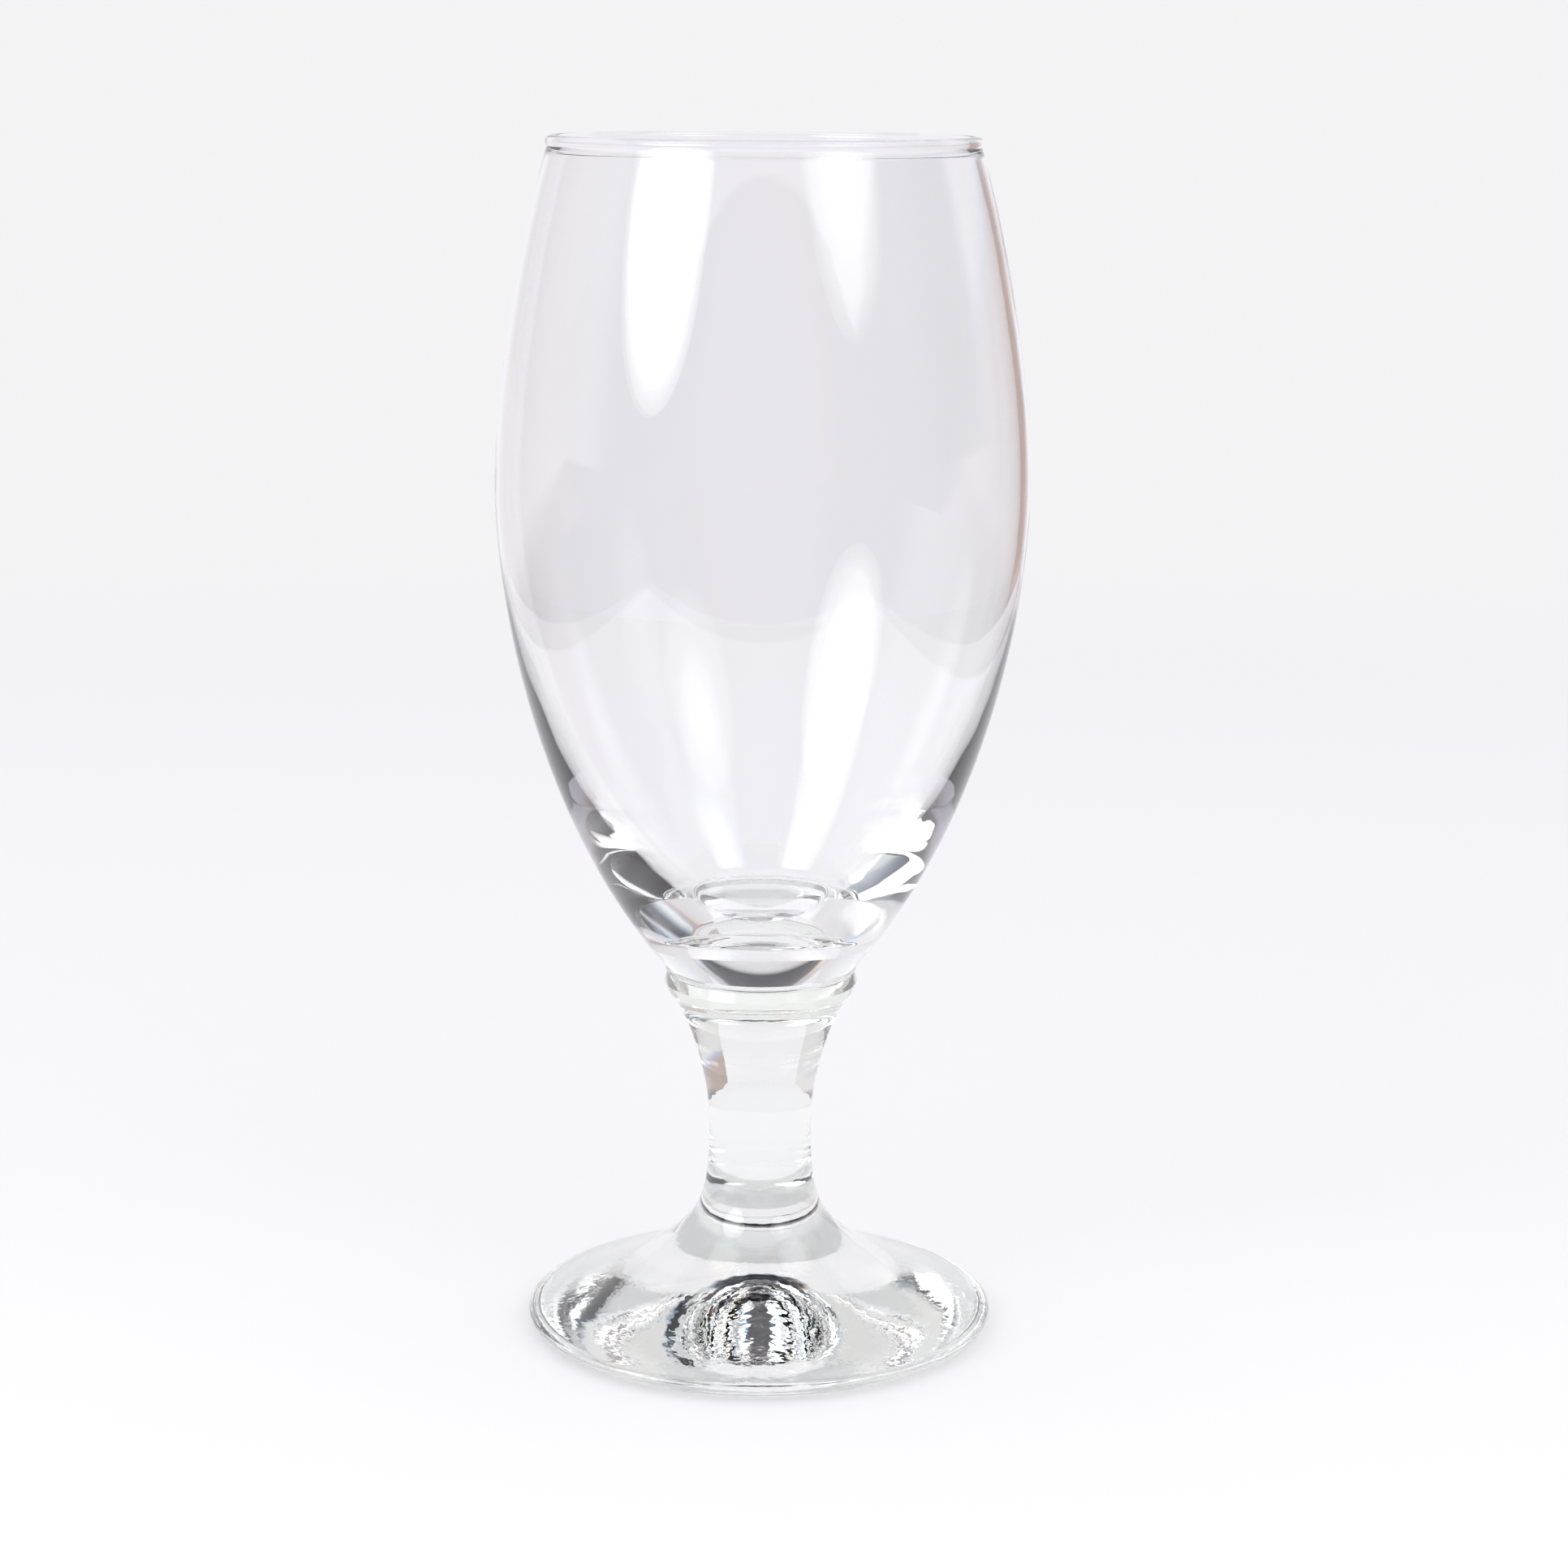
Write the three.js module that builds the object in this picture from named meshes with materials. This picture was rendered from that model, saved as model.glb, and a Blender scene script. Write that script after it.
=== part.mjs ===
// A stemmed beer glass: a teardrop bowl with a rounded rim, a collar, a waisted stem and a domed foot.
//
// Units are millimetres. +Z is up, along the axis of the glass. The origin is the centre of the
// resting face, so the glass stands on z = 0.
//
// Every piece is a solid of revolution, and each is drawn from its own base upwards. The pieces
// were fused together while hot, so each one stands face to face on the piece below it.

import * as THREE from 'three';

// Heights of the pieces, stacked from the table up.
const footHeight = 22.6;
const stemLength = 30.4;
const collarHeight = 3.2;
const bowlHeight = 125.8;

// Radii of the three fused joints. The two pieces at a joint share one radius.
const neckRadius = 8.4;
const stemHeadRadius = 14.1;
const bowlBaseRadius = 14.0;

// Foot: a dome that swells out of the neck and ends in a rounded edge.
const footRadius = 36.0;
const footEdgeHeight = 1.9;
const domeRadius = 29.9;
const domeHeight = 4.2;
const domeSlope = 23.6;
const domeReach = 9.7;
const flareRadius = 14.0;
const flareHeight = 13.2;
const flareSlope = 40.2;
const flareReachUp = 4.1;
const flareReachOut = 2.2;
const neckLean = 9.8;
const neckReach = 4.6;

// Underside of the foot: a flat bearing ring, so that the glass stands steady, round a hollow that
// rises gently from the ring and steeper towards its rounded middle.
const bearingOuterRadius = 33.0;
const bearingInnerRadius = 29.0;
const hollowDepth = 4.0;
const hollowSlope = 1.3;
const hollowReachIn = 14.5;
const hollowMiddleReach = 6.4;

// Stem: narrowest at the waist, with a trumpet head under the collar.
const waistRadius = 7.85;
const waistHeight = 8.9;
const waistReachDown = 3.8;
const waistReachUp = 9.6;
const stemFootReach = 2.4;
const stemHeadSlope = 45.0;
const stemHeadReach = 3.0;

// Collar: a disc whose side leans out to a crisp lower ridge.
const ridgeRadius = 14.8;
const ridgeHeight = 1.6;
const shoulderRadius = 14.3;
const shoulderDrop = 0.12;

// Bowl, outside: widest at the belly, drawn in to the rim above and to the base below.
const bellyRadius = 39.86;
const bellyHeight = 74.3;
const bellyReachDown = 17.2;
const bellyReachUp = 14.5;
const rimRadius = 32.0;
const rimLean = 17.1;
const rimReach = 13.8;
const baseEdgeRadius = 14.75;
const baseEdgeHeight = 1.1;
const baseSlope = 49.8;
const baseReach = 30.0;

// Bowl, inside: a thin wall over a thick base. The rim is a fire-polished bead.
const beadRadius = 0.95;
const beadOpening = 40.0;
const bellyWall = 1.5;
const baseThickness = 8.3;
const cavityRadius = 12.9;
const cavityRise = 1.8;
const cavitySlope = 40.5;
const cavityReachUp = 21.0;
const cavityBellyReach = 23.5;
const cornerReachDown = 1.3;
const cornerReachIn = 1.3;
const floorRadius = 10.3;
const floorRise = 0.4;
const floorSlope = 4.0;
const floorReachIn = 4.0;
const floorMiddleReach = 3.5;

// Fineness of the facets: flats round the axis, and steps along each stretch of an outline.
const flatsRound = 64;
const longSteps = 11;
const shortSteps = 6;
const edgeSteps = 4;
const tightSteps = 3;

// A point of an outline: its distance from the axis and its height above the base of the piece.
function at(radius, height) {
  return new THREE.Vector2(radius, height);
}

// The point reached from start by going a distance in a direction, measured in degrees from
// straight outwards and turning towards straight up.
function reach(start, direction, distance) {
  const angle = THREE.MathUtils.degToRad(direction);
  return at(start.x + distance * Math.cos(angle), start.y + distance * Math.sin(angle));
}

// A smooth stretch between two points, drawn towards a handle at each end.
function bend(start, startHandle, endHandle, end, steps) {
  return new THREE.CubicBezierCurve(start, startHandle, endHandle, end).getPoints(steps);
}

// A rounded corner between two points, shaped by the corner that it cuts off.
function round(start, corner, end) {
  return new THREE.QuadraticBezierCurve(start, corner, end).getPoints(tightSteps);
}

// Stretches of an outline become one list, without the points where they meet twice.
function join(...stretches) {
  const outline = [];
  for (const point of stretches.flat()) {
    const last = outline[outline.length - 1];
    if (last === undefined || !last.equals(point)) {
      outline.push(point);
    }
  }
  return outline;
}

// An outline is turned about the axis. It runs from the axis out along the underside, up the
// outside and back to the axis over the top, so that the faces point outwards.
function turn(outline) {
  const geometry = new THREE.LatheGeometry(outline, flatsRound);
  geometry.rotateX(Math.PI / 2);
  return geometry;
}

// The foot stands on the bearing ring. The hollow inside the ring echoes the swell of the top.
function footOutline() {
  const ringInner = at(bearingInnerRadius, 0);
  const ringOuter = at(bearingOuterRadius, 0);
  const edge = at(footRadius, footEdgeHeight);
  const dome = at(domeRadius, domeHeight);
  const flare = at(flareRadius, flareHeight);
  const neck = at(neckRadius, footHeight);
  const hollow = bend(
    at(0, hollowDepth),
    at(hollowMiddleReach, hollowDepth),
    reach(ringInner, 180 - hollowSlope, hollowReachIn),
    ringInner,
    shortSteps,
  );
  const underEdge = bend(
    ringOuter,
    at((bearingOuterRadius + footRadius) / 2, 0),
    at(footRadius, footEdgeHeight / 2),
    edge,
    edgeSteps,
  );
  const overEdge = bend(
    edge,
    at(footRadius, (footEdgeHeight + domeHeight) / 2),
    reach(dome, -domeSlope, (footRadius - domeRadius) * 2 / 3),
    dome,
    edgeSteps,
  );
  const top = bend(
    dome,
    reach(dome, 180 - domeSlope, domeReach),
    reach(flare, -flareSlope, flareReachOut),
    flare,
    shortSteps,
  );
  const sweep = bend(
    flare,
    reach(flare, 180 - flareSlope, flareReachUp),
    reach(neck, neckLean - 90, neckReach),
    neck,
    shortSteps,
  );
  return join(hollow, underEdge, overEdge, top, sweep, [at(0, footHeight)]);
}

// The stem leaves the foot at the neck's lean, narrows to the waist and opens into its head.
function stemOutline() {
  const neck = at(neckRadius, 0);
  const waist = at(waistRadius, waistHeight);
  const head = at(stemHeadRadius, stemLength);
  const lower = bend(
    neck,
    reach(neck, 90 + neckLean, stemFootReach),
    at(waistRadius, waistHeight - waistReachDown),
    waist,
    tightSteps,
  );
  const upper = bend(
    waist,
    at(waistRadius, waistHeight + waistReachUp),
    reach(head, 180 + stemHeadSlope, stemHeadReach),
    head,
    longSteps,
  );
  return join([at(0, 0)], lower, upper, [at(0, stemLength)]);
}

// The collar carries the stem's head slope out to the ridge, then leans in to the groove
// under the bowl.
function collarOutline() {
  const ridge = at(ridgeRadius, ridgeHeight);
  const shoulder = at(shoulderRadius, collarHeight - shoulderDrop);
  return join(
    [at(0, 0), at(stemHeadRadius, 0), ridge, shoulder],
    [at(bowlBaseRadius, collarHeight), at(0, collarHeight)],
  );
}

// The bowl's outside and inside are drawn apart, so that the wall thickens towards the base.
// The bead joins them at the rim.
function bowlOutline() {
  const base = at(bowlBaseRadius, 0);
  const baseEdge = at(baseEdgeRadius, baseEdgeHeight);
  const belly = at(bellyRadius, bellyHeight);
  const beadCentre = at(rimRadius - beadRadius, bowlHeight - beadRadius);
  const rimOutside = reach(beadCentre, -beadOpening, beadRadius);
  const rimInside = reach(beadCentre, 180 + beadOpening, beadRadius);
  const bellyInside = at(bellyRadius - bellyWall, bellyHeight);
  const cavity = at(cavityRadius, baseThickness + cavityRise);
  const floorEdge = at(floorRadius, baseThickness + floorRise);
  const floor = at(0, baseThickness);

  const bead = new THREE.Path();
  bead.absarc(
    beadCentre.x,
    beadCentre.y,
    beadRadius,
    THREE.MathUtils.degToRad(-beadOpening),
    THREE.MathUtils.degToRad(180 + beadOpening),
    false,
  );
  const outsideLower = bend(
    baseEdge,
    reach(baseEdge, baseSlope, baseReach),
    at(bellyRadius, bellyHeight - bellyReachDown),
    belly,
    longSteps,
  );
  const outsideUpper = bend(
    belly,
    at(bellyRadius, bellyHeight + bellyReachUp),
    reach(rimOutside, rimLean - 90, rimReach),
    rimOutside,
    shortSteps,
  );
  const insideUpper = bend(
    rimInside,
    reach(rimInside, rimLean - 90, rimReach),
    at(bellyInside.x, bellyHeight + bellyReachUp),
    bellyInside,
    shortSteps,
  );
  const insideLower = bend(
    bellyInside,
    at(bellyInside.x, bellyHeight - cavityBellyReach),
    reach(cavity, cavitySlope, cavityReachUp),
    cavity,
    longSteps,
  );
  const corner = bend(
    cavity,
    reach(cavity, 180 + cavitySlope, cornerReachDown),
    reach(floorEdge, floorSlope, cornerReachIn),
    floorEdge,
    shortSteps,
  );
  const cavityFloor = bend(
    floorEdge,
    reach(floorEdge, 180 + floorSlope, floorReachIn),
    at(floorMiddleReach, baseThickness),
    floor,
    edgeSteps,
  );
  return join(
    [at(0, 0)],
    round(base, at(baseEdgeRadius, 0), baseEdge),
    outsideLower,
    outsideUpper,
    bead.getPoints(edgeSteps),
    insideUpper,
    insideLower,
    corner,
    cavityFloor,
  );
}

// The bowl is clear glass. The pressed pieces are thicker and show a slightly greener tint.
const bowlGlass = new THREE.MeshStandardMaterial({
  color: 0xeef1f0,
  roughness: 0.03,
  metalness: 0,
  transparent: true,
  opacity: 0.35,
});
const pressedGlass = new THREE.MeshStandardMaterial({
  color: 0xe6ede6,
  roughness: 0.05,
  metalness: 0,
  transparent: true,
  opacity: 0.45,
});

// A piece stands with its base at the given height above the table.
function stand(name, outline, material, baseHeight) {
  const piece = new THREE.Mesh(turn(outline), material);
  piece.name = name;
  piece.position.z = baseHeight;
  return piece;
}

const stemBase = footHeight;
const collarBase = stemBase + stemLength;
const bowlBase = collarBase + collarHeight;

const glass = new THREE.Group();
glass.name = 'stemmed_beer_glass';
glass.add(stand('foot', footOutline(), pressedGlass, 0));
glass.add(stand('stem', stemOutline(), pressedGlass, stemBase));
glass.add(stand('collar', collarOutline(), pressedGlass, collarBase));
glass.add(stand('bowl', bowlOutline(), bowlGlass, bowlBase));

export default glass;
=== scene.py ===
import math

import bpy
from mathutils import Matrix, Vector


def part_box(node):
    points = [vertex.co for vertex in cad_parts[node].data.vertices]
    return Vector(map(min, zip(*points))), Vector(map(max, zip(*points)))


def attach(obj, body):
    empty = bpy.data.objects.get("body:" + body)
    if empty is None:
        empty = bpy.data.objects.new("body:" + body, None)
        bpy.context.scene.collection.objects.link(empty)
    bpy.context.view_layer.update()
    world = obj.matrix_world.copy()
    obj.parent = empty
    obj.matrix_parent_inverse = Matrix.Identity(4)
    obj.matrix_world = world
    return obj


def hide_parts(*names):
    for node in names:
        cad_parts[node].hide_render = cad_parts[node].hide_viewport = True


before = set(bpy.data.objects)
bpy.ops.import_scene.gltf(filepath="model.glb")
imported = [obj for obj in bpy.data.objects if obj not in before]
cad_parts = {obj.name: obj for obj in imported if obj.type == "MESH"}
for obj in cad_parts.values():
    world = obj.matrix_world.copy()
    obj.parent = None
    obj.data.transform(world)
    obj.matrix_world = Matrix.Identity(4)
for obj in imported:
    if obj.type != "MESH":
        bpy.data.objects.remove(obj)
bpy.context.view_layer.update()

# %% [markdown]
# The object is a stemmed beer glass: a thin teardrop bowl on a collar, a waisted stem and a domed
# foot. It stands on the floor at z = 0 with its axis on Z, and all lengths are in metres.
#
# Clear glass has almost no colour of its own. What the eye sees is the room, bent and mirrored by
# each wall. So the order of work is: the camera, then a room that is worth mirroring, then the
# glass itself, and last the four pieces with true walls.

# %% [markdown]
# The camera is level with the upper bowl and looks down a little, so that the mouth shows as a
# thin ellipse and the foot as a wide one. It could be placed by eye in the viewport, but a few
# tenths of a degree change every ellipse. So its place was solved from the ellipses of rim, collar
# and foot, and it is written here as numbers.

# %% The camera
PHOTO_SIDE_PX = 1932
FOCAL_PX = 4143.0
SENSOR_MM = 36.0
CAMERA_DISTANCE = 0.4995
CAMERA_HEIGHT = 0.19275
CAMERA_PITCH = math.radians(12.15)
CAMERA_ROLL = math.radians(0.35)
AXIS_LEFT_OF_CENTRE_PX = 28.3
NEAREST_SEEN = 0.01

camera_yaw = math.atan(AXIS_LEFT_OF_CENTRE_PX / FOCAL_PX)
bpy.ops.object.camera_add()
camera = bpy.context.object
camera.name = "camera"
camera.data.sensor_width = SENSOR_MM
camera.data.lens = FOCAL_PX / PHOTO_SIDE_PX * SENSOR_MM
camera.data.clip_start = NEAREST_SEEN
camera.matrix_world = (
    Matrix.Translation((0, -CAMERA_DISTANCE, CAMERA_HEIGHT))
    @ Matrix.Rotation(-camera_yaw, 4, "Z")
    @ Matrix.Rotation(math.pi / 2 - CAMERA_PITCH, 4, "X")
    @ Matrix.Rotation(CAMERA_ROLL, 4, "Z")
)
bpy.context.scene.camera = camera
print("lens in mm:", round(camera.data.lens, 2))

# %% [markdown]
# A material is a network of small nodes. It could be wired by hand in the shader editor. In a
# script, a few helpers with plain names keep the wiring short, so that the recipe of a material
# reads from top to bottom. First come the helpers for numbers and colours.


# %% Helpers for numbers and colours
def feed(tree, socket, value):
    """The socket is linked to the output of another node, or takes a plain value."""
    if isinstance(value, bpy.types.NodeSocket):
        tree.links.new(value, socket)
    else:
        socket.default_value = value


def number(tree, operation, *values):
    """A Math node. Each value is a number or the output of another node."""
    node = tree.nodes.new("ShaderNodeMath")
    node.operation = operation
    for socket, value in zip(node.inputs, values):
        feed(tree, socket, value)
    return node.outputs["Value"]


def product(tree, value, *factors):
    """The value times each of the factors."""
    for factor in factors:
        value = number(tree, "MULTIPLY", value, factor)
    return value


def axes_of(tree, vector):
    """The x, y and z of a vector, as three numbers."""
    node = tree.nodes.new("ShaderNodeSeparateXYZ")
    tree.links.new(vector, node.inputs["Vector"])
    return node.outputs["X"], node.outputs["Y"], node.outputs["Z"]


def fade(tree, value, start, end):
    """Goes smoothly from 0 to 1 while the value goes from start to end."""
    node = tree.nodes.new("ShaderNodeMapRange")
    node.interpolation_type = "SMOOTHSTEP"
    node.inputs["From Min"].default_value = start
    node.inputs["From Max"].default_value = end
    tree.links.new(value, node.inputs["Value"])
    return node.outputs["Result"]


def blend(tree, share, first, second):
    """A colour between two colours. Each is a tuple or the output of another node."""
    node = tree.nodes.new("ShaderNodeMix")
    node.data_type = "RGBA"
    feed(tree, node.inputs["A"], first)
    feed(tree, node.inputs["B"], second)
    tree.links.new(share, node.inputs["Factor"])
    return node.outputs["Result"]


# %% Helpers for materials
def new_material(name):
    """A material with empty nodes, its node tree and its output."""
    material = bpy.data.materials.new(name)
    material.use_nodes = True
    tree = material.node_tree
    tree.nodes.clear()
    output = tree.nodes.new("ShaderNodeOutputMaterial")
    return material, tree, output


def glow(tree, colour, strength=1.0):
    """A shader that gives light. Colour and strength are plain, or outputs of other nodes."""
    node = tree.nodes.new("ShaderNodeEmission")
    feed(tree, node.inputs["Color"], colour)
    feed(tree, node.inputs["Strength"], strength)
    return node.outputs["Emission"]


def mix_shaders(tree, share, first, second):
    """A shader between two shaders."""
    node = tree.nodes.new("ShaderNodeMixShader")
    tree.links.new(share, node.inputs["Fac"])
    tree.links.new(first, node.inputs[1])
    tree.links.new(second, node.inputs[2])
    return node.outputs["Shader"]


# %% [markdown]
# A studio picture of glass is two pictures in one: the even ground past the glass, and the uneven
# room that the glass mirrors and bends. Two separate renders could be laid over each other. Here
# one scene gives both, because a Light Path node tells how each ray came.
#
# A ray that glass has mirrored, or bent in its thick parts, meets the room. The eye meets plain
# ground. So does a ray that has crossed only the two thin walls of the bowl, or was let through
# towards the front, and so the bowl stays clear from every side.

# %% Which rays meet the room
PASSES_ACROSS_BOWL = 4
HALF_STEP = 0.5
PLAIN_IN_FRONT = (-0.30, -0.10)


def through_glass(tree):
    """1 for a ray that glass has mirrored or bent, 0 for any other ray. A ray that has only
    crossed both walls of the bowl counts as any other. Depths are whole numbers, so each test
    is set half a step off."""
    ray = tree.nodes.new("ShaderNodeLightPath")
    met = number(tree, "MAXIMUM", ray.outputs["Is Glossy Ray"], ray.outputs["Is Transmission Ray"])
    passes = ray.outputs["Transmission Depth"]
    crossed = number(tree, "GREATER_THAN", passes, PASSES_ACROSS_BOWL - HALF_STEP)
    unmirrored = number(tree, "LESS_THAN", ray.outputs["Glossy Depth"], HALF_STEP)
    straight_across = product(tree, crossed, unmirrored)
    return product(tree, met, number(tree, "SUBTRACT", 1.0, straight_across))


def meets_room(tree, y):
    """1 for a ray from the glass that meets the uneven room, 0 for one that meets plain ground.
    Light that is only let through meets plain ground in front, where y is low, as well."""
    ray = tree.nodes.new("ShaderNodeLightPath")
    mirrored = number(tree, "GREATER_THAN", ray.outputs["Glossy Depth"], HALF_STEP)
    allowed = number(tree, "MAXIMUM", mirrored, fade(tree, y, *PLAIN_IN_FRONT))
    return product(tree, through_glass(tree), allowed)


# %% [markdown]
# The floor is one sheet of pale paper on a table, as in a small studio. The sheet is about 55 cm
# wide and ends a hand's width in front of the glass. The bowl mirrors its front edge as a thin
# scalloped line, so the edge has to be where it is, although the camera never sees it.
#
# Sheet and table could be two meshes. One disc with a material that asks where a ray lands does
# the same, and leaves no edge for the eye to see.

# %% The floor as a mesh
FLOOR_RADIUS = 6.0
FLOOR_CORNERS = 96


def deselect_all():
    """Nothing stays selected, so that the next operator acts on new work only."""
    if bpy.context.object and bpy.context.object.mode != "OBJECT":
        bpy.ops.object.mode_set(mode="OBJECT")
    bpy.ops.object.select_all(action="DESELECT")


deselect_all()
bpy.ops.mesh.primitive_circle_add(vertices=FLOOR_CORNERS, radius=FLOOR_RADIUS, fill_type="NGON")
floor = bpy.context.object
floor.name = "floor"
print("floor across in metres:", round(floor.dimensions.x, 2))

# %% The floor that the eye sees
PAPER = (0.905, 0.895, 0.925, 1)
# The paper is painted lighter towards the front: a painted pool of lamp light.
PAINTED_LIGHT_IN_FRONT = (0.955, 0.945, 0.970, 1)
PAINTED_LIGHT_GROWS = (0.08, -0.10)
GROUND = (0.902, 0.898, 0.910, 1)
GROUND_TAKES_OVER = (0.30, 0.85)

floor_material, tree, output = new_material("pale_floor")
paint = tree.nodes.new("ShaderNodeBsdfPrincipled")
paint.inputs["Roughness"].default_value = 0.9
paint.inputs["Specular IOR Level"].default_value = 0.0
place = tree.nodes.new("ShaderNodeTexCoord")
x, y = axes_of(tree, place.outputs["Object"])[:2]
# The paper's own colour, with the painted pool of light in front.
paper_and_painted_light = blend(tree, fade(tree, y, *PAINTED_LIGHT_GROWS), PAPER, PAINTED_LIGHT_IN_FRONT)
tree.links.new(paper_and_painted_light, paint.inputs["Base Color"])
distance_squared = number(tree, "ADD", product(tree, x, x), product(tree, y, y))
distance = number(tree, "SQRT", distance_squared)
far_off = fade(tree, distance, *GROUND_TAKES_OVER)
seen = mix_shaders(tree, far_off, paint.outputs["BSDF"], glow(tree, GROUND))
print("the paper fades into plain ground from", GROUND_TAKES_OVER[0], "m on")

# %% The floor that the glass sees
# Outside the sheet the table is not lit but glows, and its colours are painted light and shade:
# painted shade in front, painted light on the left, brown with painted light on the right.
TABLE_PAINTED_SHADE_IN_FRONT = (0.13, 0.13, 0.14, 1)
TABLE_PAINTED_LIGHT_LEFT = (0.84, 0.80, 0.82, 1)
TABLE_BROWN_PAINTED_LIGHT_RIGHT = (0.50, 0.40, 0.37, 1)
TABLE_BEHIND_STARTS = (0.10, 0.45)
SHEET_LEFT, SHEET_RIGHT = -0.29, 0.255
SHEET_FRONT, SHEET_BACK = -0.255, 0.55
SHEET_SOFTNESS = 0.006

on_sheet = product(
    tree,
    fade(tree, x, SHEET_LEFT - SHEET_SOFTNESS, SHEET_LEFT),
    fade(tree, x, SHEET_RIGHT + SHEET_SOFTNESS, SHEET_RIGHT),
    fade(tree, y, SHEET_FRONT - SHEET_SOFTNESS, SHEET_FRONT),
)
# The table's painted light and shade, as the glass sees it past the sheet.
painted_table_behind = blend(tree, fade(tree, x, SHEET_LEFT, SHEET_RIGHT), TABLE_PAINTED_LIGHT_LEFT, TABLE_BROWN_PAINTED_LIGHT_RIGHT)
painted_table = blend(tree, fade(tree, y, *TABLE_BEHIND_STARTS), TABLE_PAINTED_SHADE_IN_FRONT, painted_table_behind)
met_by_glass = mix_shaders(tree, on_sheet, glow(tree, painted_table), paint.outputs["BSDF"])
whole = mix_shaders(tree, meets_room(tree, y), seen, met_by_glass)
tree.links.new(whole, output.inputs["Surface"])
floor.data.materials.append(floor_material)
print("sheet width in metres:", round(SHEET_RIGHT - SHEET_LEFT, 3))

# %% [markdown]
# Behind the glass the same paper rises as a backdrop. A real studio bends it in one sweep. Here a
# plain upright sheet is enough, because only the glass sees it: for the eye the ground simply goes
# on, with no line where paper and wall would meet.

# %% The backdrop
BACKDROP_HEIGHT = 0.60
BACKDROP_GLOW = (0.920, 0.905, 0.945, 1)


def hide_from(thing, *kinds):
    """The thing gives no light to these kinds of ray, and they pass it."""
    for kind in kinds:
        setattr(thing, "visible_" + kind, False)


deselect_all()
bpy.ops.mesh.primitive_plane_add(size=1)
backdrop = bpy.context.object
backdrop.name = "backdrop"
bpy.ops.transform.resize(value=(SHEET_RIGHT - SHEET_LEFT, BACKDROP_HEIGHT, 1))
bpy.ops.transform.rotate(value=math.pi / 2, orient_axis="X", center_override=(0, 0, 0))
sheet_middle = (SHEET_LEFT + SHEET_RIGHT) / 2
bpy.ops.transform.translate(value=(sheet_middle, SHEET_BACK, BACKDROP_HEIGHT / 2))
bpy.ops.object.transform_apply(location=True, rotation=True, scale=True)
backdrop_material, tree, output = new_material("backdrop_paper")
tree.links.new(glow(tree, BACKDROP_GLOW), output.inputs["Surface"])
backdrop.data.materials.append(backdrop_material)
hide_from(backdrop, "camera", "diffuse", "shadow")
print("backdrop:", [round(v, 3) for v in backdrop.dimensions])

# %% [markdown]
# The room beyond the paper is uneven: bright behind and to the left, black overhead and to the
# right, brown low down on the right, and dim in front, where the camera stands. High on either
# side is a bright panel. These few large areas give the thick base of the bowl and the foot their
# accents. They could be meshes round the glass, but as directions in the world they need no
# distance, and each can be moved with one number.

# %% The colours of the room
ROOM_WALL = (0.78, 0.77, 0.78, 1)
ROOM_BROWN = (0.50, 0.40, 0.37, 1)
ROOM_RIGHT = (0.04, 0.04, 0.045, 1)
ROOM_OVERHEAD = (0.02, 0.02, 0.03, 1)
ROOM_FRONT = (0.09, 0.09, 0.10, 1)
ROOM_FACING = (0.36, 0.34, 0.40, 1)
ROOM_PANEL = (2.6, 2.6, 2.6, 1)
BROWN_X, BROWN_Z = (0.30, 0.42), (0.16, 0.08)
RIGHT_X, RIGHT_Y, RIGHT_Z = (0.40, 0.55), (0.45, 0.25), (0.62, 0.48)
OVERHEAD_Z = (0.70, 0.80)
FRONT_Y = (-0.10, -0.45)
FACING_Y = (-0.82, -0.94)
PANEL_AZIMUTH, PANEL_ELEVATION, PANEL_SPREAD = 78, 60, 18


def aim(azimuth, elevation):
    """A direction from the glass. Azimuth is from the camera's side towards the right."""
    a = math.radians(azimuth)
    e = math.radians(elevation)
    return Vector((math.sin(a) * math.cos(e), -math.cos(a) * math.cos(e), math.sin(e)))


def room_colour(tree, x, y, z):
    """The colour of the room in the direction x, y, z."""
    low_right = product(tree, fade(tree, x, *BROWN_X), fade(tree, z, *BROWN_Z))
    colour = blend(tree, low_right, ROOM_WALL, ROOM_BROWN)
    right = product(tree, fade(tree, x, *RIGHT_X), fade(tree, y, *RIGHT_Y), fade(tree, z, *RIGHT_Z))
    colour = blend(tree, right, colour, ROOM_RIGHT)
    colour = blend(tree, fade(tree, z, *OVERHEAD_Z), colour, ROOM_OVERHEAD)
    colour = blend(tree, fade(tree, y, *FRONT_Y), colour, ROOM_FRONT)
    colour = blend(tree, fade(tree, y, *FACING_Y), colour, ROOM_FACING)
    panel_edge = math.cos(math.radians(PANEL_SPREAD))
    for azimuth in (-PANEL_AZIMUTH, PANEL_AZIMUTH):
        centre = aim(azimuth, PANEL_ELEVATION)
        near = number(tree, "MULTIPLY_ADD", x, centre.x, product(tree, y, centre.y))
        near = number(tree, "MULTIPLY_ADD", z, centre.z, near)
        colour = blend(tree, fade(tree, near, panel_edge, 1.0), colour, ROOM_PANEL)
    return colour


print("right panel towards:", [round(v, 2) for v in aim(PANEL_AZIMUTH, PANEL_ELEVATION)])

# %% [markdown]
# Real glass bends blue light a little more than red, and so it draws fine coloured fringes. Here
# all light is bent alike. The glass could be split into a red, a green and a blue one, but three
# kinds of bending in one material make far too much noise. So the room is drawn three times, a
# little turned, and gives its red, green and blue from one drawing each.

# %% The room as a world
ROOM_SOFT = (0.90, 0.90, 0.91, 1)
FRINGE = 0.018

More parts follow.
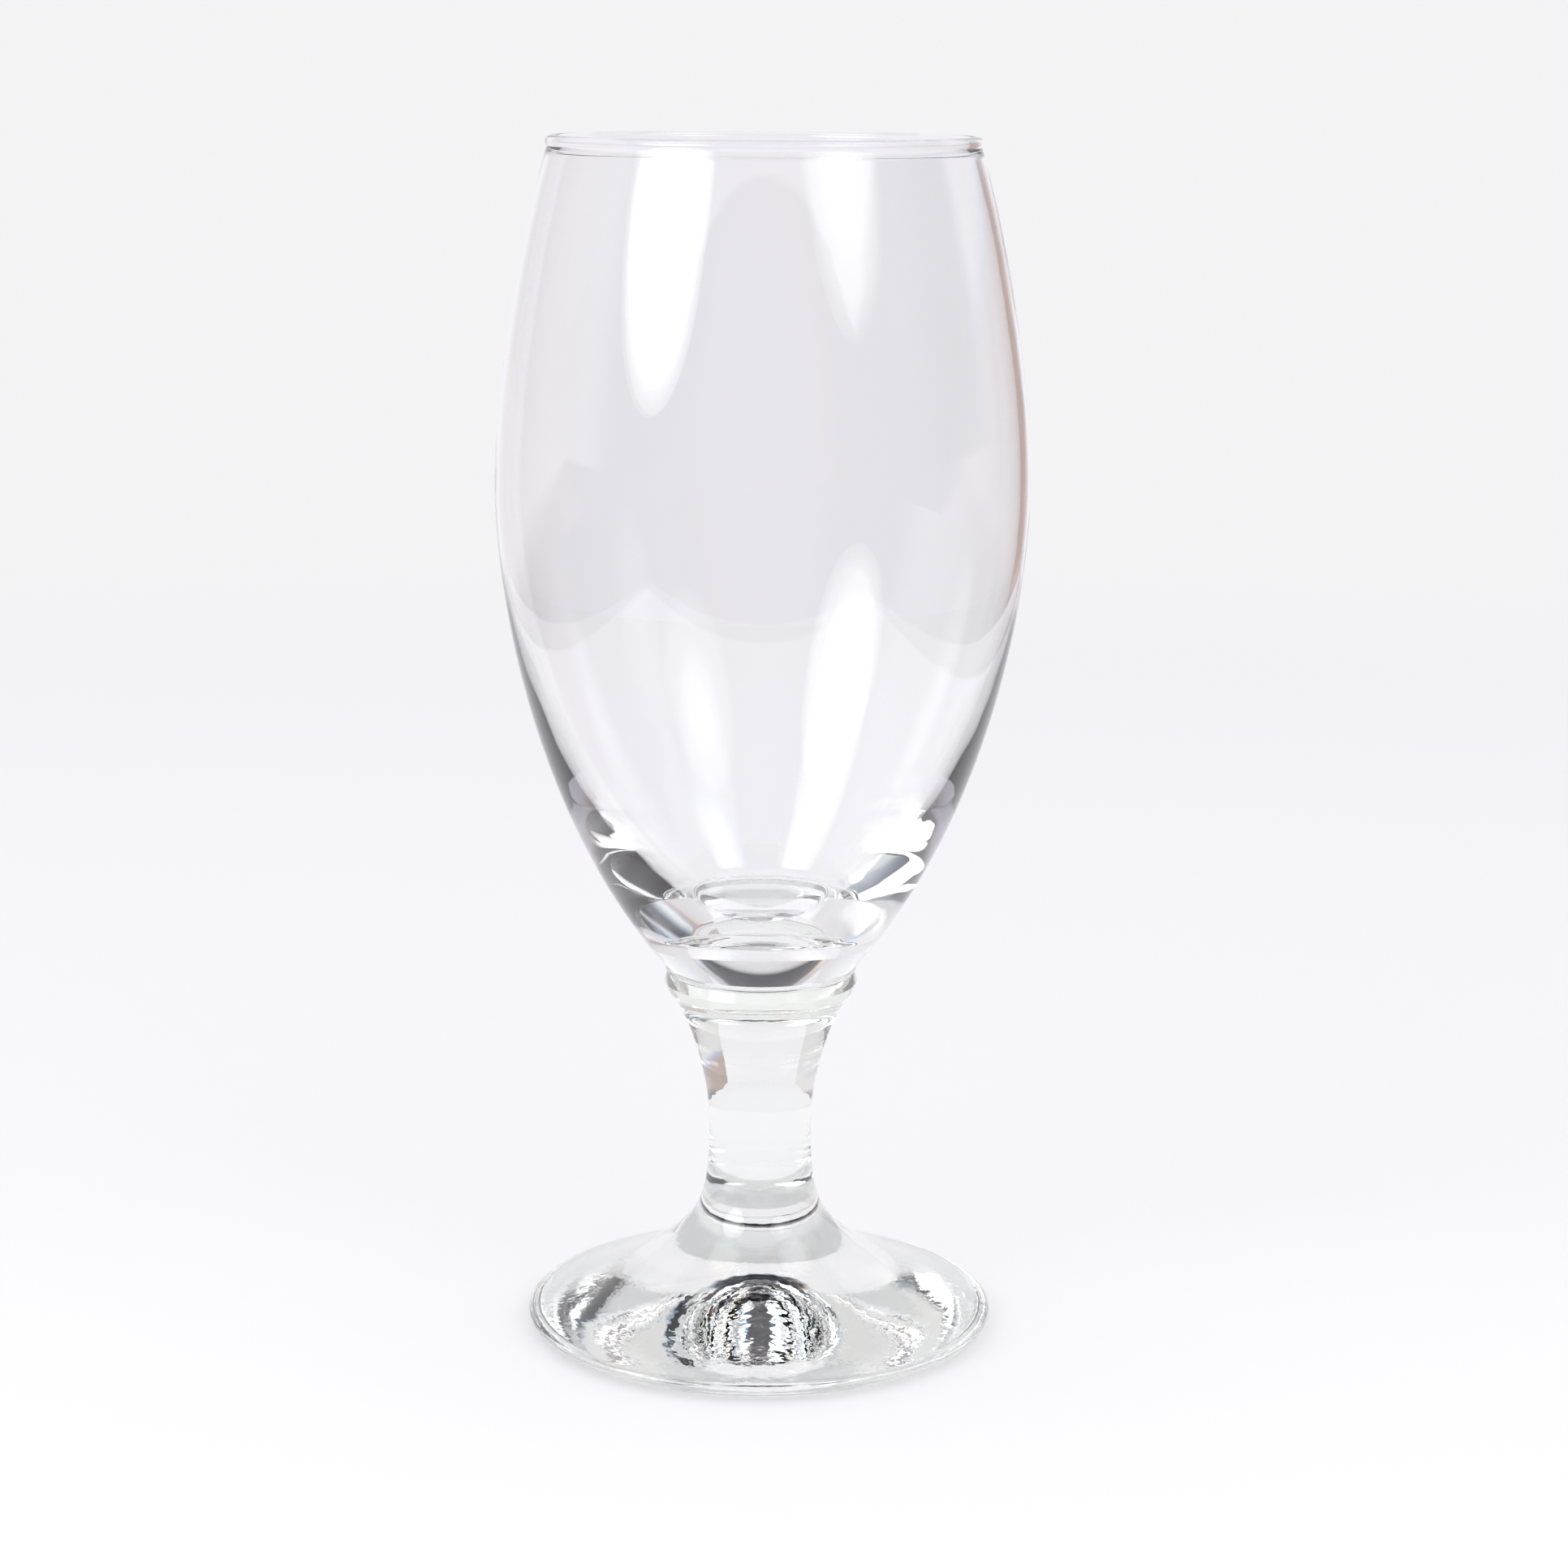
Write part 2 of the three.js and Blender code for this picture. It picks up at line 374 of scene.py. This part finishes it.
world = bpy.data.worlds.new("room")
bpy.context.scene.world = world
world.use_nodes = True
tree = world.node_tree
tree.nodes.clear()
output = tree.nodes.new("ShaderNodeOutputWorld")
direction = tree.nodes.new("ShaderNodeTexCoord").outputs["Generated"]
fringed = tree.nodes.new("ShaderNodeCombineColor")
for channel, shift in (("Red", -FRINGE), ("Green", 0.0), ("Blue", FRINGE)):
    moved = tree.nodes.new("ShaderNodeVectorMath")
    moved.inputs[1].default_value = (shift, shift, shift)
    tree.links.new(direction, moved.inputs[0])
    turned = tree.nodes.new("ShaderNodeVectorMath")
    turned.operation = "NORMALIZE"
    tree.links.new(moved.outputs["Vector"], turned.inputs[0])
    split = tree.nodes.new("ShaderNodeSeparateColor")
    colour = room_colour(tree, *axes_of(tree, turned.outputs["Vector"]))
    tree.links.new(colour, split.inputs["Color"])
    tree.links.new(split.outputs[channel], fringed.inputs[channel])
towards_y = axes_of(tree, direction)[1]
chosen = blend(tree, meets_room(tree, towards_y), ROOM_SOFT, fringed.outputs["Color"])
camera_ray = tree.nodes.new("ShaderNodeLightPath").outputs["Is Camera Ray"]
chosen = blend(tree, camera_ray, chosen, GROUND)
light = tree.nodes.new("ShaderNodeBackground")
tree.links.new(chosen, light.inputs["Color"])
tree.links.new(light.outputs["Background"], output.inputs["Surface"])
print("nodes in the room:", len(tree.nodes))

# %% [markdown]
# Two round lamps with diffusers stand in front, left and right. The bowl mirrors them as two tall
# soft highlights. An area lamp alone has the same brightness all over and makes a hard-edged
# highlight. So each lamp is a glowing disc that fades towards its edge and lights the glass only,
# with an area lamp in the same place that lights the floor.

# %% A round lamp
AIM = Vector((0, 0, 0.12))
LAMP_DISTANCE = 1.2
DISC_CORNERS = 64
MIDDLE_STARTS = (0.15, 0.75)
RIM_STARTS = (0.75, 1.0)
WHITE = (1, 1, 1, 1)


def disc_material(name, radius, core, middle, rim):
    """Light that goes from core in the centre over middle to rim at the edge."""
    material, tree, output = new_material(name)
    where = tree.nodes.new("ShaderNodeTexCoord")
    length = tree.nodes.new("ShaderNodeVectorMath")
    length.operation = "LENGTH"
    tree.links.new(where.outputs["Object"], length.inputs[0])
    outwards = number(tree, "DIVIDE", length.outputs["Value"], radius)
    to_middle = fade(tree, outwards, *MIDDLE_STARTS)
    to_rim = fade(tree, outwards, *RIM_STARTS)
    level = number(tree, "MULTIPLY_ADD", to_middle, middle - core, core)
    level = number(tree, "MULTIPLY_ADD", to_rim, rim - middle, level)
    tree.links.new(glow(tree, WHITE, level), output.inputs["Surface"])
    return material


def turn_to_glass(thing, place):
    """The thing faces the glass from its place."""
    thing.rotation_mode = "QUATERNION"
    thing.rotation_quaternion = (AIM - place).to_track_quat("-Z", "Y")


def round_lamp(name, azimuth, elevation, spread, core, middle, rim, floor_light):
    """A disc for the glass and a light for the floor. The spread is half the angle, in degrees,
    under which the glass sees the disc."""
    place = AIM + LAMP_DISTANCE * aim(azimuth, elevation)
    radius = LAMP_DISTANCE * math.tan(math.radians(spread))
    deselect_all()
    bpy.ops.mesh.primitive_circle_add(
        vertices=DISC_CORNERS, radius=radius, fill_type="NGON", location=place
    )
    disc = bpy.context.object
    disc.name = name + "_disc"
    turn_to_glass(disc, place)
    disc.data.materials.append(disc_material(disc.name, radius, core, middle, rim))
    hide_from(disc, "camera", "diffuse", "shadow")
    deselect_all()
    bpy.ops.object.light_add(type="AREA", location=place)
    lamp = bpy.context.object
    lamp.name = name + "_light"
    turn_to_glass(lamp, place)
    lamp.data.shape = "DISK"
    lamp.data.size = 2 * radius
    lamp.data.energy = floor_light
    hide_from(lamp, "camera", "glossy", "transmission")
    print(name, "at", [round(v, 2) for v in place], "radius", round(radius, 3))


# %% The two lamps
round_lamp(
    "lamp_left", azimuth=-50, elevation=27, spread=20.5,
    core=7.0, middle=4.0, rim=1.2, floor_light=3.6,
)
round_lamp(
    "lamp_right", azimuth=42, elevation=32, spread=18.5,
    core=3.6, middle=1.5, rim=0.5, floor_light=2.2,
)

# %% [markdown]
# One recipe makes three glasses. The bowl is blown and fire polished, so it has only a faint
# waviness. The pressed foot and stem carry finer chill ripples from the cool mould, and they are a
# little greener where they are thick. The collar is where bowl and stem were melted together. Its
# ridge traps rays that would come out black, so its glass is a little milky, and it shows as the
# pale greenish ring that it is.
#
# The ripples could be modelled as fine waves in the mesh, but a bump bends the light just as well
# and costs no faces. The shadow of clear glass is faint, and a true caustic needs far more
# samples. So a lamp shines through the glass onto the floor with a small loss.

# %% The glass
GLASS_IOR = 1.52
LAMP_LIGHT_KEPT = (0.93, 0.935, 0.94, 1)


def glass_material(name, tint, ripple_scale, ripple_detail, ripple_depth, clearness=1.0):
    """Clear glass with a faint tint and ripples. Lamps shine through it onto the floor."""
    material, tree, output = new_material(name)
    body = tree.nodes.new("ShaderNodeBsdfPrincipled")
    body.inputs["Base Color"].default_value = tint
    body.inputs["Roughness"].default_value = 0.0
    body.inputs["IOR"].default_value = GLASS_IOR
    body.inputs["Transmission Weight"].default_value = clearness
    place = tree.nodes.new("ShaderNodeTexCoord")
    noise = tree.nodes.new("ShaderNodeTexNoise")
    noise.inputs["Scale"].default_value = ripple_scale
    noise.inputs["Detail"].default_value = ripple_detail
    bump = tree.nodes.new("ShaderNodeBump")
    bump.inputs["Distance"].default_value = ripple_depth
    tree.links.new(place.outputs["Object"], noise.inputs["Vector"])
    tree.links.new(noise.outputs["Fac"], bump.inputs["Height"])
    tree.links.new(bump.outputs["Normal"], body.inputs["Normal"])
    through = tree.nodes.new("ShaderNodeBsdfTransparent")
    through.inputs["Color"].default_value = LAMP_LIGHT_KEPT
    shadow_ray = tree.nodes.new("ShaderNodeLightPath").outputs["Is Shadow Ray"]
    surface = mix_shaders(tree, shadow_ray, body.outputs["BSDF"], through.outputs["BSDF"])
    tree.links.new(surface, output.inputs["Surface"])
    return material


# %% The three glasses
WAVINESS = {"ripple_scale": 60, "ripple_detail": 2, "ripple_depth": 0.00004}
CHILL_RIPPLES = {"ripple_scale": 600, "ripple_detail": 1.5, "ripple_depth": 0.000022}

bowl_glass = glass_material("bowl_glass", (0.990, 0.992, 0.997, 1), **WAVINESS)
pressed_glass = glass_material("pressed_glass", (0.975, 0.990, 0.965, 1), **CHILL_RIPPLES)
collar_glass = glass_material(
    "collar_glass", (0.93, 0.95, 0.90, 1), **CHILL_RIPPLES, clearness=0.68
)
print("glasses:", bowl_glass.name, pressed_glass.name, collar_glass.name)

# %% [markdown]
# Each glass piece is round, so it is drawn as half an outline and spun about its axis. It could
# also be a cylinder that is scaled ring by ring, but a Bezier curve gives an even sweep with few
# points, and its handles can be set in degrees. A spun mesh has a seam and two poles, which are
# merged, so that the piece is one closed body.

# %% Drawing an outline
CURVE_STEPS = 22
OUTWARDS, UPWARDS, INWARDS, DOWNWARDS = 0, 90, 180, -90


def reach(start, degrees, distance):
    """The point at a distance from start, in a direction measured from outwards towards up."""
    angle = math.radians(degrees)
    return (start[0] + distance * math.cos(angle), start[1] + distance * math.sin(angle))


def straight(end):
    """A straight stretch of an outline. A bend has two handles and then its end."""
    return (end,)


def draw_outline(name, start, stretches):
    """A Bezier curve in the XZ plane, through the ends of all stretches."""
    deselect_all()
    bpy.ops.curve.primitive_bezier_curve_add()
    curve = bpy.context.object
    curve.name = name
    curve.data.resolution_u = CURVE_STEPS
    spline = curve.data.splines[0]
    spline.bezier_points.add(len(stretches) - 1)
    places = [start] + [stretch[-1] for stretch in stretches]
    for point, (radius, height) in zip(spline.bezier_points, places):
        point.handle_left_type = point.handle_right_type = "FREE"
        point.co = point.handle_left = point.handle_right = (radius, 0, height)
    for index, stretch in enumerate(stretches):
        first = spline.bezier_points[index]
        second = spline.bezier_points[index + 1]
        if len(stretch) == 1:
            first.handle_right_type = "VECTOR"
            second.handle_left_type = "VECTOR"
        else:
            first.handle_right = (stretch[0][0], 0, stretch[0][1])
            second.handle_left = (stretch[1][0], 0, stretch[1][1])
    return curve


# %% Turning an outline
SPIN_STEPS = 192
MERGE = 1e-6


def turn_on_axis(curve):
    """The outline becomes a mesh, is spun round Z, and its seam and poles are merged."""
    deselect_all()
    curve.select_set(True)
    bpy.context.view_layer.objects.active = curve
    bpy.ops.object.convert(target="MESH")
    piece = bpy.context.object
    bpy.ops.object.mode_set(mode="EDIT")
    bpy.ops.mesh.select_all(action="SELECT")
    bpy.ops.mesh.spin(steps=SPIN_STEPS, angle=math.tau, center=(0, 0, 0), axis=(0, 0, 1))
    bpy.ops.mesh.select_all(action="SELECT")
    bpy.ops.mesh.remove_doubles(threshold=MERGE)
    bpy.ops.mesh.normals_make_consistent(inside=False)
    bpy.ops.object.mode_set(mode="OBJECT")
    return piece


# %% [markdown]
# Where two pieces are fused there is no surface left on the real glass. Two faces of glass in one
# place would mirror light twice and show a grey disc. The pieces could be joined to one mesh, but
# they are to stay apart, so the faces at a joint get a material that lets everything through.

# %% Finishing a piece
LEVEL = 0.999
SAME_HEIGHT = 10 * MERGE
SMOOTH_BELOW = math.radians(35)
OWN_GLASS, CLEAR_JOINT = 0, 1

fused_face, tree, output = new_material("fused_face")
clear = tree.nodes.new("ShaderNodeBsdfTransparent")
tree.links.new(clear.outputs["BSDF"], output.inputs["Surface"])


def finish_piece(piece, node, glass, joints):
    """The piece takes its node's place and its glass, with clear faces at its joints."""
    piece.data.materials.clear()
    piece.data.materials.append(glass)
    piece.data.materials.append(fused_face)
    for face in piece.data.polygons:
        level = abs(face.normal.z) > LEVEL
        at_joint = any(abs(face.center.z - height) < SAME_HEIGHT for height in joints)
        face.material_index = CLEAR_JOINT if level and at_joint else OWN_GLASS
    deselect_all()
    piece.select_set(True)
    bpy.context.view_layer.objects.active = piece
    bpy.ops.object.shade_smooth_by_angle(angle=SMOOTH_BELOW)
    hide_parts(node)
    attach(piece, "root")
    print(piece.name, "faces:", len(piece.data.polygons))


print("material at joints:", fused_face.name)

# %% [markdown]
# The pieces are stacked as they were fused, so each one starts where the one below it ends. The
# heights could be repeated as numbers. They and the widest radii come from the frame instead, so
# that no piece can drift from its solid.

# %% The heights of the pieces, from the frame
foot_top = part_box("foot")[1].z
stem_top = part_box("stem")[1].z
collar_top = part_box("collar")[1].z
rim_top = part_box("bowl")[1].z
foot_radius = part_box("foot")[1].x
ridge_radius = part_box("collar")[1].x
belly_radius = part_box("bowl")[1].x
print("heights:", [round(v, 4) for v in (foot_top, stem_top, collar_top, rim_top)])

# %% [markdown]
# The foot is pressed in a mould: a low dome that sweeps up into the neck, with a rounded edge.
# Only a flat ring touches the table. Inside it the glass is hollowed by 4 mm, as real feet are,
# and this hollow is a lens that draws the bright arch in the middle of the foot.
#
# The underside could be left flat, since it is never seen, but then the arch would be gone. The
# ring is lifted by two hundredths of a millimetre, because glass and floor in one plane would show
# as a grey band.

# %% The foot's underside
CONTACT_GAP = 0.00002
HOLLOW_MIDDLE_REACH = 0.0064
HOLLOW_SLOPE, HOLLOW_REACH_IN = 1.3, 0.0145
EDGE_HEIGHT, EDGE_REACH_OUT = 0.0019, 0.0015

hollow_top = (0, 0.0040)
ring_inner = (0.0290, CONTACT_GAP)
ring_outer = (0.0330, CONTACT_GAP)
edge = (foot_radius, EDGE_HEIGHT)
hollow = (
    reach(hollow_top, OUTWARDS, HOLLOW_MIDDLE_REACH),
    reach(ring_inner, INWARDS - HOLLOW_SLOPE, HOLLOW_REACH_IN),
    ring_inner,
)
under_edge = (
    reach(ring_outer, OUTWARDS, EDGE_REACH_OUT),
    (foot_radius, EDGE_HEIGHT / 2),
    edge,
)
print("hollow depth in mm:", round(1000 * hollow_top[1], 2))

# %% The foot's top
OVER_EDGE_HEIGHT = 0.00305
DOME_SLOPE, DOME_REACH_OUT, DOME_REACH_IN = 23.6, 0.00407, 0.0097
FLARE_SLOPE, FLARE_REACH_OUT, FLARE_REACH_UP = 40.2, 0.0022, 0.0041
NECK_LEAN, NECK_REACH_DOWN = 9.8, 0.0046

dome = (0.0299, 0.0042)
flare = (0.0140, 0.0132)
neck = (0.0084, foot_top)
over_edge = ((foot_radius, OVER_EDGE_HEIGHT), reach(dome, -DOME_SLOPE, DOME_REACH_OUT), dome)
top = (
    reach(dome, INWARDS - DOME_SLOPE, DOME_REACH_IN),
    reach(flare, -FLARE_SLOPE, FLARE_REACH_OUT),
    flare,
)
sweep = (
    reach(flare, INWARDS - FLARE_SLOPE, FLARE_REACH_UP),
    reach(neck, NECK_LEAN + DOWNWARDS, NECK_REACH_DOWN),
    neck,
)
foot_curve = draw_outline(
    "glass_foot",
    hollow_top,
    [hollow, straight(ring_outer), under_edge, over_edge, top, sweep, straight((0, foot_top))],
)
foot = turn_on_axis(foot_curve)
finish_piece(foot, "foot", pressed_glass, [foot_top])

# %% [markdown]
# The stem is a solid rod. It leaves the foot at the neck's lean, is thinnest at its waist and opens
# like a trumpet under the collar. It could be lofted through many rings. Two long bends do with
# three points, and both run straight up at the waist, so that no ring shows there.

# %% The stem
STEM_FOOT_REACH = 0.0024
WAIST_REACH_DOWN, WAIST_REACH_UP = 0.0038, 0.0096
HEAD_SLOPE, HEAD_REACH = 45, 0.003

waist = (0.00785, foot_top + 0.0089)
head = (0.0141, stem_top)
lower_stem = (
    reach(neck, UPWARDS + NECK_LEAN, STEM_FOOT_REACH),
    reach(waist, DOWNWARDS, WAIST_REACH_DOWN),
    waist,
)
upper_stem = (
    reach(waist, UPWARDS, WAIST_REACH_UP),
    reach(head, INWARDS + HEAD_SLOPE, HEAD_REACH),
    head,
)
stem_curve = draw_outline(
    "glass_stem",
    (0, foot_top),
    [straight(neck), lower_stem, upper_stem, straight((0, stem_top))],
)
stem = turn_on_axis(stem_curve)
finish_piece(stem, "stem", pressed_glass, [foot_top, stem_top])

# %% [markdown]
# The collar is a disc between bowl and stem. Its side leans out to a crisp ridge and back in to a
# fine groove under the bowl. A bevel on a plain disc would round the ridge, and the bright line
# along it would be lost. So the side is drawn with straight lines.

# %% The collar
bowl_base = (0.0140, collar_top)
ridge = (ridge_radius, stem_top + 0.0016)
shoulder = (0.0143, collar_top - 0.00012)
collar_curve = draw_outline(
    "glass_collar",
    (0, stem_top),
    [straight(point) for point in (head, ridge, shoulder, bowl_base, (0, collar_top))],
)
collar = turn_on_axis(collar_curve)
finish_piece(collar, "collar", collar_glass, [stem_top, collar_top])

# %% [markdown]
# The bowl is one shell. Its wall is 1.5 mm thick at the belly and grows into a base of 8 mm, and
# its rim is a bead that a flame has melted round. A Solidify modifier would give a shell of even
# thickness, with neither the dark edges nor the lens at the bottom. So outside and inside are
# drawn as separate bends, which meet in the bead.

# %% The outside of the bowl
BASE_ROUND_OUT, BASE_ROUND_UP = 0.0005, 0.0006
BASE_SLOPE, BASE_REACH_UP = 49.8, 0.030
BELLY_REACH_DOWN, BELLY_REACH_UP = 0.0172, 0.0145
RIM_LEAN, RIM_REACH_DOWN = 17.1, 0.0138
BEAD_RADIUS, BEAD_OPENING = 0.00095, 40

base_edge = (0.01475, collar_top + 0.0011)
belly = (belly_radius, collar_top + 0.0743)
bead_centre = (0.032 - BEAD_RADIUS, rim_top - BEAD_RADIUS)
rim_outside = reach(bead_centre, -BEAD_OPENING, BEAD_RADIUS)
base_round = (
    reach(bowl_base, OUTWARDS, BASE_ROUND_OUT),
    reach(base_edge, DOWNWARDS, BASE_ROUND_UP),
    base_edge,
)
outside_lower = (
    reach(base_edge, BASE_SLOPE, BASE_REACH_UP),
    reach(belly, DOWNWARDS, BELLY_REACH_DOWN),
    belly,
)
outside_upper = (
    reach(belly, UPWARDS, BELLY_REACH_UP),
    reach(rim_outside, RIM_LEAN + DOWNWARDS, RIM_REACH_DOWN),
    rim_outside,
)
print("rim radius in mm:", round(1000 * (bead_centre[0] + BEAD_RADIUS), 2))

# %% The bead of the rim
bead_top = (bead_centre[0], rim_top)
rim_inside = reach(bead_centre, INWARDS + BEAD_OPENING, BEAD_RADIUS)
half_bead = UPWARDS + BEAD_OPENING
bead_reach = BEAD_RADIUS * 4 / 3 * math.tan(math.radians(half_bead / 4))
bead_outside = (
    reach(rim_outside, UPWARDS - BEAD_OPENING, bead_reach),
    reach(bead_top, OUTWARDS, bead_reach),
    bead_top,
)
bead_inside = (
    reach(bead_top, INWARDS, bead_reach),
    reach(rim_inside, UPWARDS + BEAD_OPENING, bead_reach),
    rim_inside,
)
print("bead goes round by", 2 * half_bead, "degrees")

# %% The inside of the bowl
BELLY_WALL = 0.0015
CAVITY_BELLY_REACH = 0.0235
CAVITY_SLOPE, CAVITY_REACH_UP = 40.5, 0.021
CORNER_REACH = 0.0013
FLOOR_SLOPE, FLOOR_REACH_IN, FLOOR_MIDDLE_REACH = 4, 0.004, 0.0035

belly_inside = (belly_radius - BELLY_WALL, belly[1])
cavity = (0.0129, collar_top + 0.0101)
floor_edge = (0.0103, collar_top + 0.0087)
floor_centre = (0, collar_top + 0.0083)
inside_upper = (
    reach(rim_inside, RIM_LEAN + DOWNWARDS, RIM_REACH_DOWN),
    reach(belly_inside, UPWARDS, BELLY_REACH_UP),
    belly_inside,
)
inside_lower = (
    reach(belly_inside, DOWNWARDS, CAVITY_BELLY_REACH),
    reach(cavity, CAVITY_SLOPE, CAVITY_REACH_UP),
    cavity,
)
corner = (
    reach(cavity, INWARDS + CAVITY_SLOPE, CORNER_REACH),
    reach(floor_edge, FLOOR_SLOPE, CORNER_REACH),
    floor_edge,
)
cavity_floor = (
    reach(floor_edge, INWARDS + FLOOR_SLOPE, FLOOR_REACH_IN),
    reach(floor_centre, OUTWARDS, FLOOR_MIDDLE_REACH),
    floor_centre,
)
print("base thickness in mm:", round(1000 * (floor_centre[1] - collar_top), 2))

# %% The bowl
bowl_outside = [straight(bowl_base), base_round, outside_lower, outside_upper]
bowl_inside = [inside_upper, inside_lower, corner, cavity_floor]
bowl_curve = draw_outline(
    "glass_bowl",
    (0, collar_top),
    bowl_outside + [bead_outside, bead_inside] + bowl_inside,
)
bowl = turn_on_axis(bowl_curve)
finish_piece(bowl, "bowl", bowl_glass, [collar_top])

# %% [markdown]
# A ray crosses up to four surfaces of glass here and is mirrored many times inside the thick base.
# Fewer bounces would render faster, but the base would turn black where rays are given up. The
# view transform is Standard, so that colours come out as they are written.

# %% Light paths and view
BOUNCES = 24
MIRROR_BOUNCES = 16

scene = bpy.context.scene
scene.view_settings.view_transform = "Standard"
scene.cycles.max_bounces = BOUNCES
scene.cycles.transmission_bounces = BOUNCES
scene.cycles.transparent_max_bounces = BOUNCES
scene.cycles.glossy_bounces = MIRROR_BOUNCES
print("bounces:", scene.cycles.max_bounces)
